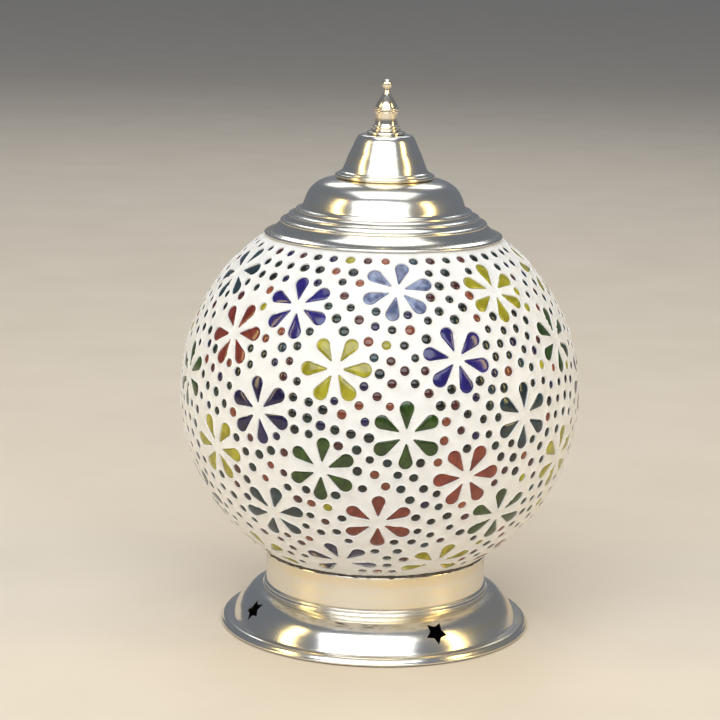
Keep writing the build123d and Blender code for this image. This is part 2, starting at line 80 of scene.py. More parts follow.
# %% Define the material helpers
def start_material(name, **sockets):
    """A new material with its Principled shader, and that shader's plain values."""
    material = bpy.data.materials.new(name)
    material.use_nodes = True
    shader = material.node_tree.nodes["Principled BSDF"]
    for socket, value in sockets.items():
        shader.inputs[socket.replace("_", " ")].default_value = value
    return material, shader


def add_node(material, kind, inputs=None, **settings):
    """Add one node, set its menus and fill in or link its inputs."""
    made = material.node_tree.nodes.new(kind)
    for key, value in settings.items():
        setattr(made, key, value)
    for key, value in (inputs or {}).items():
        if isinstance(value, bpy.types.NodeSocket):
            material.node_tree.links.new(value, made.inputs[key])
        else:
            made.inputs[key].default_value = value
    return made


def object_place(material, scale=(1, 1, 1)):
    """The place on the piece, stretched by a Mapping node."""
    coordinates = add_node(material, "ShaderNodeTexCoord")
    mapping = add_node(material, "ShaderNodeMapping", {"Vector": coordinates.outputs["Object"]})
    mapping.inputs["Scale"].default_value = scale
    return mapping.outputs["Vector"]


def colour_ramp(material, fac, stops):
    """A colour ramp with these (position, colour) stops."""
    ramp = add_node(material, "ShaderNodeValToRGB", {"Fac": fac})
    elements = ramp.color_ramp.elements
    while len(elements) < len(stops):
        elements.new(0.5)
    for element, (position, colour) in zip(elements, stops):
        element.position = position
        element.color = (*colour, 1)
    return ramp.outputs["Color"]


def rough_and_bump(material, shader, pattern, rough, bump, depth):
    """Let a pattern vary the roughness between two values and raise a fine bump."""
    spread = add_node(
        material, "ShaderNodeMapRange", {"Value": pattern, "To Min": rough[0], "To Max": rough[1]}
    )
    material.node_tree.links.new(spread.outputs["Result"], shader.inputs["Roughness"])
    relief = add_node(material, "ShaderNodeBump", {"Height": pattern, "Strength": bump, "Distance": depth})
    material.node_tree.links.new(relief.outputs["Normal"], shader.inputs["Normal"])


def grainy(name, dark, light, scale, rough, bump, depth=0.0002, **sockets):
    """A finish whose colour, gloss and relief wander with one noise pattern."""
    material, shader = start_material(name, **sockets)
    place = object_place(material)
    grain = add_node(material, "ShaderNodeTexNoise", {"Vector": place, "Scale": scale, "Detail": 6.0})
    colour = colour_ramp(material, grain.outputs["Fac"], [(0.3, dark), (0.7, light)])
    material.node_tree.links.new(colour, shader.inputs["Base Color"])
    rough_and_bump(material, shader, grain.outputs["Fac"], rough, bump, depth)
    return material


print("material helpers ready")

# %% [markdown]
# ## Silver-plated brass
# The base and cap are brass sheet, spun on a lathe over a wooden form, plated and buffed.
# Spinning leaves fine rings round the axis, and buffing leaves cloudy patches where brass shows warm.
# The rings are noise drawn from the radius and the height only, so they follow every curve.

# %% Make the plated finish
TOOL_RINGS = 900.0     # noise scales, larger for a finer pattern
WARM_BANDS = 150.0
BUFFED_CLOUDS = 22.0


def spun_metal(name, silver, brass, warmth, rough):
    """Polished sheet with fine spinning rings and warm, cloudy patches."""
    material, shader = start_material(name, Metallic=1.0, Specular_IOR_Level=0.6)
    place = object_place(material)
    parts = add_node(material, "ShaderNodeSeparateXYZ", {"Vector": place})
    across = add_node(material, "ShaderNodeCombineXYZ", {"X": parts.outputs["X"], "Y": parts.outputs["Y"]})
    radius = add_node(material, "ShaderNodeVectorMath", {0: across.outputs["Vector"]}, operation="LENGTH")
    lathe = add_node(
        material, "ShaderNodeCombineXYZ", {"X": radius.outputs["Value"], "Z": parts.outputs["Z"]}
    )
    across_rings = lathe.outputs["Vector"]
    rings = add_node(
        material, "ShaderNodeTexNoise", {"Vector": across_rings, "Scale": TOOL_RINGS, "Detail": 3.0}
    )
    clouds = add_node(
        material, "ShaderNodeTexNoise", {"Vector": place, "Scale": BUFFED_CLOUDS, "Detail": 4.0}
    )
    bands = add_node(
        material, "ShaderNodeTexNoise", {"Vector": across_rings, "Scale": WARM_BANDS, "Detail": 2.0}
    )
    mixed = add_node(
        material, "ShaderNodeMath", {0: clouds.outputs["Fac"], 1: bands.outputs["Fac"]}, operation="ADD"
    )
    half = add_node(material, "ShaderNodeMath", {0: mixed.outputs["Value"], 1: 0.5}, operation="MULTIPLY")
    colour = colour_ramp(material, half.outputs["Value"], [(0.56 - warmth, silver), (0.70, brass)])
    material.node_tree.links.new(colour, shader.inputs["Base Color"])
    spread = add_node(
        material, "ShaderNodeMapRange",
        {"Value": clouds.outputs["Fac"], "From Min": 0.3, "From Max": 0.7,
         "To Min": rough[0], "To Max": rough[1]},
    )
    material.node_tree.links.new(spread.outputs["Result"], shader.inputs["Roughness"])
    relief = add_node(
        material, "ShaderNodeBump", {"Height": rings.outputs["Fac"], "Strength": 0.16, "Distance": 0.0001}
    )
    dents = add_node(
        material, "ShaderNodeBump",
        {"Height": clouds.outputs["Fac"], "Strength": 0.12, "Distance": 0.002,
         "Normal": relief.outputs["Normal"]},
    )
    material.node_tree.links.new(dents.outputs["Normal"], shader.inputs["Normal"])
    return material


SILVER = (0.86, 0.825, 0.75)
WARM_BRASS = (0.92, 0.80, 0.55)
plated = spun_metal("silver_plated_brass", SILVER, WARM_BRASS, 0.04, (0.13, 0.24))
turned = spun_metal("turned_brass", (0.86, 0.81, 0.71), (0.90, 0.72, 0.46), 0.10, (0.10, 0.20))
print("made", plated.name, turned.name)

# %% [markdown]
# ## The other finishes
# Plaster is matt and slightly chalky. Cut glass is glossy and deep, with streaks from the melt.
# The globe's own thin wall is simply part see-through, so that light gets inside when the cap is off.
# The hidden pieces get plain workshop finishes: zinc, pressed steel, bakelite, porcelain, felt, rubber.

# %% Make the plaster, glass and workshop finishes
plaster_white = grainy("hand_smoothed_plaster", (0.78, 0.78, 0.78), (0.88, 0.88, 0.88), 130.0,
                       (0.5, 0.75), 0.5, 0.0006)


def chip_glass(name, deep, bright):
    """Opaque-looking coloured glass: a glossy skin over a streaked, deep colour."""
    material, shader = start_material(
        name, Specular_IOR_Level=0.5, Coat_Weight=0.35, Coat_Roughness=0.08, IOR=1.5
    )
    place = object_place(material, (1.0, 1.0, 0.6))
    streaks = add_node(
        material, "ShaderNodeTexNoise", {"Vector": place, "Scale": 210.0, "Detail": 3.0, "Distortion": 0.6}
    )
    colour = colour_ramp(material, streaks.outputs["Fac"], [(0.42, deep), (0.78, bright)])
    material.node_tree.links.new(colour, shader.inputs["Base Color"])
    rough_and_bump(material, shader, streaks.outputs["Fac"], (0.12, 0.26), 0.12, 0.0004)
    return material


CHIP_COLOURS = {
    "teal": ((0.008, 0.020, 0.028), (0.028, 0.070, 0.090)),
    "royal": ((0.012, 0.007, 0.11), (0.030, 0.022, 0.23)),
    "smoke": ((0.08, 0.10, 0.20), (0.34, 0.40, 0.62)),
    "olive": ((0.26, 0.235, 0.008), (0.50, 0.46, 0.03)),
    "red": ((0.14, 0.020, 0.011), (0.29, 0.055, 0.030)),
    "green": ((0.014, 0.036, 0.001), (0.042, 0.100, 0.004)),
    "navy": ((0.007, 0.004, 0.035), (0.016, 0.010, 0.085)),
    "black": ((0.003, 0.004, 0.003), (0.014, 0.018, 0.015)),
    "bottle": ((0.004, 0.010, 0.008), (0.014, 0.036, 0.026)),
    "maroon": ((0.05, 0.010, 0.010), (0.13, 0.034, 0.030)),
    "rust": ((0.16, 0.036, 0.014), (0.32, 0.090, 0.040)),
}
chip_finish = {name: chip_glass("glass_" + name, *tones) for name, tones in CHIP_COLOURS.items()}

zinc = grainy("zinc_plate", (0.45, 0.45, 0.44), (0.66, 0.66, 0.64), 300.0, (0.3, 0.5), 0.2,
              Metallic=1.0)
sheet_steel = grainy("pressed_steel", (0.30, 0.30, 0.29), (0.46, 0.46, 0.45), 120.0, (0.35, 0.55), 0.2,
                     Metallic=1.0)
contact_brass = grainy("contact_brass", (0.62, 0.44, 0.18), (0.80, 0.62, 0.30), 200.0, (0.2, 0.4), 0.15,
                       Metallic=1.0)
bulb_metal = grainy("nickel_plate", (0.60, 0.58, 0.53), (0.78, 0.76, 0.71), 250.0, (0.15, 0.3), 0.15,
                    Metallic=1.0)
felt = grainy("green_felt", (0.015, 0.03, 0.02), (0.05, 0.09, 0.06), 1500.0, (0.9, 1.0), 0.9, 0.0006)
rubber = grainy("black_rubber", (0.012, 0.012, 0.012), (0.03, 0.03, 0.03), 500.0, (0.55, 0.75), 0.3)
# Near-black cement: its bead at the collar's top edge stands for the shadow in the gap there, as painted
# shade.
cement_and_gap_shade = grainy("cement_painted_gap_shade", (0.03, 0.025, 0.02), (0.14, 0.12, 0.10), 420.0, (0.8, 0.95), 0.9, 0.0008)
porcelain = grainy("lampholder_porcelain", (0.80, 0.79, 0.74), (0.90, 0.89, 0.85), 90.0, (0.12, 0.22), 0.1)
bakelite = grainy("black_bakelite", (0.010, 0.009, 0.008), (0.035, 0.03, 0.026), 260.0, (0.18, 0.32), 0.15)
phosphor = grainy("filament_phosphor", (0.72, 0.46, 0.08), (0.90, 0.66, 0.20), 900.0, (0.5, 0.7), 0.3)
clear_glass = grainy("clear_glass", (0.94, 0.96, 0.94), (1.0, 1.0, 1.0), 30.0, (0.0, 0.04), 0.05,
                     Transmission_Weight=1.0, IOR=1.5)
globe_wall = grainy("blown_globe_glass", (0.84, 0.88, 0.86), (0.94, 0.96, 0.95), 30.0, (0.02, 0.08), 0.05,
                    Alpha=0.25, IOR=1.5)
print("made", len(bpy.data.materials), "finishes")

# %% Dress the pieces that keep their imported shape
FINISH_OF = {
    "cord_grommet": rubber, "bottom_cover": sheet_steel, "felt_ring": felt, "seat_pan": sheet_steel,
    "cement_ring": cement_and_gap_shade, "lamp_nipple": zinc, "nipple_nuts": zinc, "nipple_washer": zinc,
    "earth_terminal": contact_brass, "holder_cap": bakelite, "holder_sleeve": bakelite,
    "holder_core": porcelain, "screw_contact": contact_brass, "centre_contact": contact_brass,
    "terminal_screws": contact_brass, "bulb_glass": clear_glass, "bulb_screw_cap": bulb_metal,
    "bulb_insulator": bakelite, "bulb_contact": bulb_metal, "bulb_stem": clear_glass,
    "bulb_filaments": phosphor, "glass_globe": globe_wall, "cap_ring": sheet_steel,
    "finial_stud": zinc, "stud_washer": zinc, "stud_nut": zinc,
}
for node, finish in FINISH_OF.items():
    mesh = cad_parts[node].data
    mesh.materials.clear()
    mesh.materials.append(finish)
print("dressed", len(FINISH_OF), "packed pieces")

# %% [markdown]
# ## A lathe for the metal
# Spun and turned pieces are one outline taken round the axis.
# The outline starts as one corner of a plane and is extruded from point to point.
# Spin carries it round, merging closes the seam, and Solidify gives the sheet its wall.

# %% Define the lathe
def arc(centre_r, centre_z, radius, start, end, count=7):
    """Points of a rolled bead or edge, by its centre and two angles in degrees."""
    angles = [math.radians(start + (end - start) * i / (count - 1)) for i in range(count)]
    return [(centre_r + radius * math.cos(a), centre_z + radius * math.sin(a)) for a in angles]


def flowing(points, per=4):
    """A smooth run through the points (Catmull-Rom)."""
    ends = [points[0]] + list(points) + [points[-1]]
    run = []
    for a, b, c, d in zip(ends, ends[1:], ends[2:], ends[3:]):
        for i in range(per):
            t = i / per
            run.append(tuple(
                0.5 * (2 * q + (r - p) * t + (2 * p - 5 * q + 4 * r - s) * t * t
                       + (3 * q - p - 3 * r + s) * t ** 3)
                for p, q, r, s in zip(a, b, c, d)
            ))
    return run + [points[-1]]


def clear_selection():
    """Leave edit mode and select nothing."""
    if bpy.context.object and bpy.context.object.mode != "OBJECT":
        bpy.ops.object.mode_set(mode="OBJECT")
    bpy.ops.object.select_all(action="DESELECT")


def apply_modifier(piece, kind, **settings):
    """Add one modifier to the active piece and apply it."""
    modifier = piece.modifiers.new(kind.lower(), kind)
    for key, value in settings.items():
        setattr(modifier, key, value)
    bpy.context.view_layer.objects.active = piece
    bpy.ops.object.modifier_apply(modifier=modifier.name)


def lathe(name, outline):
    """Turn an outline of (radius, height) in millimetres round the lamp's axis."""
    clear_selection()
    first_r, first_z = outline[0]
    bpy.ops.mesh.primitive_plane_add(size=MM, location=(0, 0, 0))
    piece = bpy.context.object
    piece.name = piece.data.name = name
    bpy.ops.object.mode_set(mode="EDIT")
    bpy.ops.mesh.select_all(action="SELECT")
    bpy.ops.mesh.merge(type="CENTER")
    bpy.ops.transform.translate(value=(first_r * MM, 0, first_z * MM))
    for (r0, z0), (r1, z1) in zip(outline, outline[1:]):
        step = ((r1 - r0) * MM, 0, (z1 - z0) * MM)
        bpy.ops.mesh.extrude_region_move(TRANSFORM_OT_translate={"value": step})
    bpy.ops.mesh.select_all(action="SELECT")
    bpy.ops.mesh.spin(steps=TURN_STEPS, angle=math.tau, center=(0, 0, 0), axis=(0, 0, 1))
    bpy.ops.mesh.select_all(action="SELECT")
    bpy.ops.mesh.remove_doubles(threshold=0.00002)
    bpy.ops.mesh.normals_make_consistent(inside=False)
    bpy.ops.object.mode_set(mode="OBJECT")
    return piece


def outward(piece):
    """Flip an open sheet whose faces look at the axis."""
    facing = sum(f.area * (f.normal.x * f.center.x + f.normal.y * f.center.y) for f in piece.data.polygons)
    if facing < 0:
        bpy.ops.object.mode_set(mode="EDIT")
        bpy.ops.mesh.select_all(action="SELECT")
        bpy.ops.mesh.flip_normals()
        bpy.ops.object.mode_set(mode="OBJECT")


def finish_piece(piece, node, body, material, angle=35):
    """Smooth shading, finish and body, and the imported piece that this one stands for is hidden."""
    clear_selection()
    piece.select_set(True)
    bpy.context.view_layer.objects.active = piece
    bpy.ops.object.shade_smooth_by_angle(angle=math.radians(angle))
    piece.data.materials.clear()
    piece.data.materials.append(material)
    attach(piece, body)
    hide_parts(node)
    print(piece.name, len(piece.data.polygons), "faces")


SHEET = 0.9 * MM


def spun_piece(name, outline, node, body):
    """A piece of spun sheet, its outline drawn along the outer side."""
    piece = lathe(name, outline)
    outward(piece)
    apply_modifier(piece, "SOLIDIFY", thickness=SHEET, offset=-1.0, use_even_offset=True)
    finish_piece(piece, node, body, plated)
    return piece


print("lathe ready")

# %% [markdown]
# ## Base and collar
# The base is one spun shell: a thin rolled rim, a flat flange, then a full dome up to the collar.
# Four star vents are punched through it, a quarter turn apart. Boolean does the punching here.
# The collar is a straight band with two fine rings at its foot and a rolled upper edge.

# %% Spin the base shell
FLANGE_Z = 4.1
DOME_TOP = 18.6
BASE_OUTLINE = (
    arc(77.6, 1.2, 0.75, -80, 60)
    + flowing([(77.5, 2.6), (76.9, 3.4), (75.6, 3.9), (73.6, 4.0), (72.3, FLANGE_Z)], 3)
    + flowing([(71.9, 4.9), (70.7, 7.6), (69.1, 10.6), (66.6, 13.9), (63.2, 16.8), (60.2, 18.1),
               (58.3, DOME_TOP)])
    + [(57.0, DOME_TOP), (50.0, DOME_TOP)]
)
base = spun_piece("base_shell_spun", BASE_OUTLINE, "base_shell", "lamp")

# %% Punch the star vents
STAR_POINTS = 5
STAR_REACH = 6.0 * MM
STAR_WAIST = 0.54
FIRST_STAR = 26.5
STAR_PLACE = (67.6 * MM, 12.7 * MM, 36)      # radius, height, and rise of the hole's direction
INLET_TURN = 161.5     # the cord's inlet, half way between the two rear stars
INLET_PLACE = (69.3 * MM, 10.0 * MM, 28)
INLET_R = 3.7 * MM
DOWNWARDS = math.radians(-90)


def on_dome(turn, radius, height, rise):
    """Frame on the dome: x along the rim, y up the slope, z outwards."""
    spin = Matrix.Rotation(math.radians(turn), 4, "Z")
    tilt = Matrix.Rotation(math.radians(90 - rise), 4, "X")
    return spin @ Matrix.Translation((0, -radius, height)) @ tilt


def punch(piece, cutter):
    """Cut one piece with another and throw the cutter away."""
    apply_modifier(piece, "BOOLEAN", operation="DIFFERENCE", object=cutter, solver="EXACT")
    bpy.data.objects.remove(cutter)


for quarter in range(4):
    clear_selection()
    bpy.ops.mesh.primitive_cylinder_add(vertices=2 * STAR_POINTS, radius=STAR_REACH, depth=8 * MM)
    cutter = bpy.context.object
    for vertex in cutter.data.vertices:
        angle = math.atan2(vertex.co.y, vertex.co.x) - DOWNWARDS
        corner = round(angle / (math.pi / STAR_POINTS))
        reach = STAR_REACH * (1.0 if corner % 2 == 0 else STAR_WAIST)
        place = DOWNWARDS + corner * math.pi / STAR_POINTS
        vertex.co.x, vertex.co.y = reach * math.cos(place), reach * math.sin(place)
    cutter.data.transform(on_dome(FIRST_STAR + 90 * quarter, *STAR_PLACE))
    punch(base, cutter)

clear_selection()
bpy.ops.mesh.primitive_cylinder_add(vertices=40, radius=INLET_R, depth=12 * MM)
inlet_cutter = bpy.context.object
inlet_cutter.data.transform(on_dome(INLET_TURN, *INLET_PLACE))
punch(base, inlet_cutter)
SHARP_RIM = 30     # degrees, so that the punched edges stay crisp
finish_piece(base, "base_shell", "lamp", plated, SHARP_RIM)

# %% Spin the collar
COLLAR_OUTLINE = (
    [(57.3, DOME_TOP)]
    + arc(56.5, 19.5, 0.8, -60, 55)
    + arc(56.1, 21.1, 0.65, -45, 80)
    + [(55.6, 22.3), (55.6, 29.0), (55.6, 36.7)]
    + arc(55.45, 37.75, 0.7, -20, 140)
)
spun_piece("globe_collar_spun", COLLAR_OUTLINE, "globe_collar", "lamp")

# %% [markdown]
# ## Cap, bell and finial
# The cap's skirt flares to its brim through three fine steps, under a rounded shoulder.
# The bell stands on the shoulder with a beaded foot. A washer and a turned finial hold both.

# %% Spin the cap's skirt
SKIRT_OUTLINE = (
    arc(58.75, 199.95, 0.5, -90, 60)
    + flowing([(58.4, 200.7), (55.9, 201.7), (53.6, 203.2), (51.9, 204.9)], 4)
    + arc(50.6, 206.1, 0.8, -35, 85)
    + flowing([(49.7, 207.0), (48.6, 207.7), (47.7, 208.4)], 2)
    + arc(46.9, 209.2, 0.6, -35, 85)
    + flowing([(46.1, 209.9), (45.1, 210.4), (44.1, 211.0)], 2)
    + arc(43.2, 211.8, 0.65, -35, 85)
    + flowing([(42.4, 212.5), (41.3, 213.0), (40.5, 214.0), (39.6, 216.4), (38.6, 219.0), (36.9, 221.9),
               (34.3, 224.4), (30.8, 226.3), (27.4, 227.3), (25.2, 227.7)], 4)
    + [(22.0, 227.8), (2.9, 227.8)]
)
spun_piece("cap_skirt_spun", SKIRT_OUTLINE, "cap_skirt", "cap")

# %% Spin the bell
BELL_OUTLINE = (
    [(23.4, 227.85)]
    + arc(23.6, 228.95, 1.1, -80, 80)
    + arc(22.1, 230.4, 0.55, -50, 70)
    + flowing([(21.4, 231.3), (20.4, 233.4), (19.4, 236.0), (18.2, 239.1), (16.9, 241.8), (15.7, 244.6),
               (14.7, 246.9), (13.8, 248.3), (12.9, 249.1), (11.6, 249.4)], 4)
    + [(8.0, 249.4), (2.9, 249.4)]
)
spun_piece("cap_bell_spun", BELL_OUTLINE, "cap_bell", "cap")

# %% Turn the washer and the finial
WASHER_OUTLINE = (
    [(2.5, 249.45), (8.8, 249.45)]
    + arc(8.75, 250.2, 0.75, -80, 80)
    + [(8.6, 250.9), (2.5, 250.9), (2.5, 249.45)]
)
washer = lathe("finial_washer_turned", WASHER_OUTLINE)
finish_piece(washer, "finial_washer", "cap", turned)

BALL_R = 2.45
TIP_Z = 276.5
FINIAL_OUTLINE = (
    [(0.0, 263.0), (2.5, 262.9), (2.5, 251.0), (6.9, 251.0)]
    + arc(6.75, 251.7, 0.65, -80, 80)
    + [(6.6, 252.5)]
    + arc(6.0, 253.2, 0.65, -60, 80)
    + flowing([(5.75, 254.1), (5.5, 255.2), (5.4, 257.4), (5.55, 260.0)], 4)
    + arc(5.55, 260.9, 0.55, -60, 30, 5)
    + arc(5.75, 262.0, 0.65, -60, 80)
    + flowing([(5.5, 262.9), (4.9, 264.4), (4.1, 265.9), (3.2, 267.3), (2.35, 268.6), (1.65, 269.9),
               (1.25, 271.0)], 4)
    + arc(0, TIP_Z - BALL_R, BALL_R, -58, 88, 14)
    + [(0.0, TIP_Z)]
)
finial = lathe("finial_turned", FINIAL_OUTLINE)
finish_piece(finial, "finial", "finial", turned)

# %% [markdown]
# ## Where the mosaic's pieces lie
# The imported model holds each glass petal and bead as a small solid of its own.
# Merging a copy's corners and walking its loose islands gives every chip's place.
# A petal's point is its corner furthest from the middle, so it also gives the direction.

# %% Read the chips' places
GLOBE_MID = 120 * MM
GLOBE_FLAT = 4.26 * MM
GLOBE_ARC = 95.74 * MM
CHIP_EDGE = 3.3        # a petal's round end, in millimetres
POINT_EDGE = 0.3       # its point
POINT_REACH = 9.1      # between the two
PETAL_TIP = 10         # from the round end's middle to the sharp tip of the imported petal
BEAD_EDGE = 2.1


def place_of(point):
    """Turn round the axis and tilt on the globe of a point near its face, in radians."""
    return (
        math.atan2(point.x, -point.y),
        math.atan2(point.z - GLOBE_MID, math.hypot(point.x, point.y) - GLOBE_FLAT),
    )


def on_globe(turn, tilt, rise=0.0):
    """The point of the globe there, `rise` metres above its face."""
    reach = GLOBE_FLAT + (GLOBE_ARC + rise) * math.cos(tilt)
    height = GLOBE_MID + (GLOBE_ARC + rise) * math.sin(tilt)
    return Vector((reach * math.sin(turn), -reach * math.cos(turn), height))


def globe_normal(turn, tilt):
    """Straight out of the globe."""
    return Vector((math.cos(tilt) * math.sin(turn), -math.cos(tilt) * math.cos(turn), math.sin(tilt)))


def islands(node):
    """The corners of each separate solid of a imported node."""
    mesh = bmesh.new()
    mesh.from_mesh(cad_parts[node].data)
    bmesh.ops.remove_doubles(mesh, verts=mesh.verts, dist=0.000002)
    mesh.verts.index_update()
    seen = set()
    found = []
    for first in mesh.verts:
        if first.index in seen:
            continue
        seen.add(first.index)
        heap, corners = [first], []
        while heap:
            vertex = heap.pop()
            corners.append(vertex.co.copy())
            for edge in vertex.link_edges:
                other = edge.other_vert(vertex)
                if other.index not in seen:
                    seen.add(other.index)
                    heap.append(other)
        found.append(corners)
    mesh.free()
    return found


class Chip:
    """One piece of glass: its frame on the globe and its hand-cut size."""

    def __init__(self, kind, corners, chance):
        middle = sum(corners, Vector()) / len(corners)
        self.kind = kind
        self.grow = chance.uniform(0.92, 1.05) if kind == "petal" else chance.uniform(0.86, 1.10)
        self.slim = chance.uniform(0.93, 1.06)
        turn, tilt = place_of(middle)
        if kind == "petal":
            tip = max(corners, key=lambda corner: (corner - middle).length)
            normal = globe_normal(turn, tilt)
            self.x = tip - middle
            self.x = (self.x - normal * self.x.dot(normal)).normalized()
            end = on_globe(*place_of(tip)) - self.x * PETAL_TIP * MM
            turn, tilt = place_of(end)
        normal = globe_normal(turn, tilt)
        self.origin = on_globe(turn, tilt)
        if kind == "bead":
            self.x = Vector((math.cos(turn), math.sin(turn), 0))
        self.x = (self.x - normal * self.x.dot(normal)).normalized()
        self.y = normal.cross(self.x)

    def at(self, u, v, rise):
        """A point of the chip's own drawing, in millimetres, laid over the globe."""
        flat = self.origin + self.x * (u * MM) + self.y * (v * MM)
        return on_globe(*place_of(flat), rise * MM)

    def outline(self, gap):
        """The chip's edge, `gap` millimetres outside it."""
        if self.kind == "bead":
            radius = BEAD_EDGE * self.grow + gap
            return [(radius * self.slim * math.cos(a), radius * math.sin(a))
                    for a in (math.tau * i / 14 for i in range(14))]
        big, small, reach = CHIP_EDGE * self.grow + gap, POINT_EDGE + gap, POINT_REACH * self.grow
        lean = math.acos((big - small) / reach)
        ends = [(0.0, big, lean + (math.tau - 2 * lean) * i / 12) for i in range(13)]
        point = [(reach, small, -lean + 2 * lean * i / 3) for i in range(4)]
        edge = [(x + r * math.cos(a), r * math.sin(a)) for x, r, a in ends]
        nose = [(x + r * math.cos(a), r * math.sin(a)) for x, r, a in point]
        side = [tuple(p + (q - p) * t for p, q in zip(edge[-1], nose[0])) for t in (0.33, 0.66)]
        back = [tuple(p + (q - p) * t for p, q in zip(nose[-1], edge[0])) for t in (0.33, 0.66)]
        return edge + side + nose + back


chance = random.Random(11)
chips = {}
for node in sorted(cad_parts):
    if node.startswith(("petals_", "beads_")):
        kind = "petal" if node.startswith("petals_") else "bead"
        chips[node] = [Chip(kind, corners, chance) for corners in islands(node)]
print({node: len(found) for node, found in chips.items()})

# %% [markdown]
# ## The plaster
# The maker glues the chips on, floods plaster between them and wipes it back.
# It ends a little proud of each chip, so every one sits in a round-lipped pocket.
# The skin is laid out flat (a stereographic map of the globe), triangulated, and rolled back up.
# Rings of points round each chip make its pocket: floor, wall, lip and foot.

# %% Lay out the plaster skin
POCKET_RINGS = [      # gap outside the chip's edge, height over the globe's face (millimetres)
    (0.03, -1.0),
    (0.10, -0.10),
    (0.40, 0.34),
    (0.85, 0.12),
]
LOW_TILT, HIGH_TILT = math.radians(-64), math.radians(63)
EDGE_BAND = 0.015     # radians at the skin's two edges that stay without fill points
EDGE_COUNT = 200
GLOBE_AREA = 4 * math.pi * (100 * 97)      # about, in square millimetres
FILL_PITCH = 2.1
RING_ROOM = 1.0       # millimetres between a fill point and a pocket's foot
CHIP_ROOM = 0.8       # between a fill point and a petal's own edge
BEAD_ROOM = 1.2       # and a bead's
PETAL_MIDDLE = 3.0    # along a petal, from its round end's middle
PETAL_SPAN = 8.5      # a point further than this from the petal's middle is clear of it
FACE_RISE = 0.06      # the open face between the pockets, over the globe's face
HIGH_RISE = -0.4      # the upper edge, under the cap
BACK_RISE = -3.6      # the plaster's inner face, on the glass


def flat_of(turn, tilt):
    """The place on the flat map."""
    reach = math.cos(tilt) / (1 - math.sin(tilt))
    return Vector((reach * math.cos(turn), reach * math.sin(turn)))


skin_points, skin_flat, skin_edges = [], [], []


def add_skin_point(turn, tilt, rise):
    """One point of the skin, on the globe and on the map."""
    skin_points.append(on_globe(turn, tilt, rise * MM))
    skin_flat.append(flat_of(turn, tilt))


all_chips = [chip for found in chips.values() for chip in found]
rims = []
for chip in all_chips:
    for gap, rise in POCKET_RINGS:
        start = len(skin_points)
        ring = [chip.at(u, v, 0) for u, v in chip.outline(gap)]
        for point in ring:
            add_skin_point(*place_of(point), rise)
        if gap < 0.2:
            count = len(ring)
            skin_edges += [(start + i, start + (i + 1) % count) for i in range(count)]
    rims += ring

near = kdtree.KDTree(len(rims))
for i, point in enumerate(rims):
    near.insert(point, i)
near.balance()
fill_count = int(GLOBE_AREA / FILL_PITCH ** 2)
middles = kdtree.KDTree(len(all_chips))
for i, chip in enumerate(all_chips):
    middles.insert(chip.at(PETAL_MIDDLE if chip.kind == "petal" else 0.0, 0, 0), i)
middles.balance()
for i in range(fill_count):
    tilt = math.asin(1 - 2 * (i + 0.5) / fill_count)
    turn = i * math.pi * (3 - math.sqrt(5)) % math.tau
    if not LOW_TILT + EDGE_BAND < tilt < HIGH_TILT - EDGE_BAND:
        continue
    spot = on_globe(turn, tilt)
    if near.find(spot)[2] < RING_ROOM * MM:
        continue
    _, which, distance = middles.find(spot)
    chip = all_chips[which]
    if distance < (BEAD_EDGE + BEAD_ROOM) * MM and chip.kind == "bead":
        continue
    inside = False
    for _, which, distance in middles.find_range(spot, PETAL_SPAN * MM):
        chip = all_chips[which]
        if chip.kind == "petal":
            local = spot - chip.origin
            u, v = local.dot(chip.x) / MM, local.dot(chip.y) / MM
            reach = CHIP_EDGE + (POINT_EDGE - CHIP_EDGE) * max(0.0, min(1.0, u / POINT_REACH))
            inside = inside or (
                -CHIP_EDGE - CHIP_ROOM < u < POINT_REACH + CHIP_ROOM
                and abs(v) < reach + CHIP_ROOM
                and math.hypot(min(u, 0.0), v) < CHIP_EDGE + CHIP_ROOM
            )
    if not inside:
        add_skin_point(turn, tilt, FACE_RISE)

low_start = len(skin_points)
for i in range(EDGE_COUNT):
    add_skin_point(math.tau * i / EDGE_COUNT, LOW_TILT, 0.0)
high_start = len(skin_points)
for i in range(EDGE_COUNT):
    add_skin_point(math.tau * i / EDGE_COUNT, HIGH_TILT, HIGH_RISE)
for start in (low_start, high_start):
    skin_edges += [(start + i, start + (i + 1) % EDGE_COUNT) for i in range(EDGE_COUNT)]
print(len(skin_points), "points in the skin")

# %% Triangulate the skin and roll it back up
WAVE = 0.34                     # unevenness of the hand-smoothed face, in millimetres
LONG_WAVE, SHORT_WAVE = 55, 170      # noise scales
laid = delaunay_2d_cdt(skin_flat, skin_edges, [], 0, 1e-7)
source = [list(origins)[0] if origins else None for origins in laid[3]]
kept = {i: skin_points[s] for i, s in enumerate(source) if s is not None}


def in_the_hole(face):
    """Whether a triangle spans the opening at the foot of the globe."""
    return all(source[i] is not None and low_start <= source[i] < high_start for i in face)


faces = [tuple(face) for face in laid[2] if all(i in kept for i in face) and not in_the_hole(face)]
wavy = []
for i in range(len(laid[0])):
    point = kept.get(i, Vector())
    turn, tilt = place_of(point) if i in kept else (0.0, 0.0)
    wave = WAVE * noise.noise(point * LONG_WAVE) + 0.4 * WAVE * noise.noise(point * SHORT_WAVE)
    wavy.append(point + globe_normal(turn, tilt) * (wave * MM) if i in kept else point)

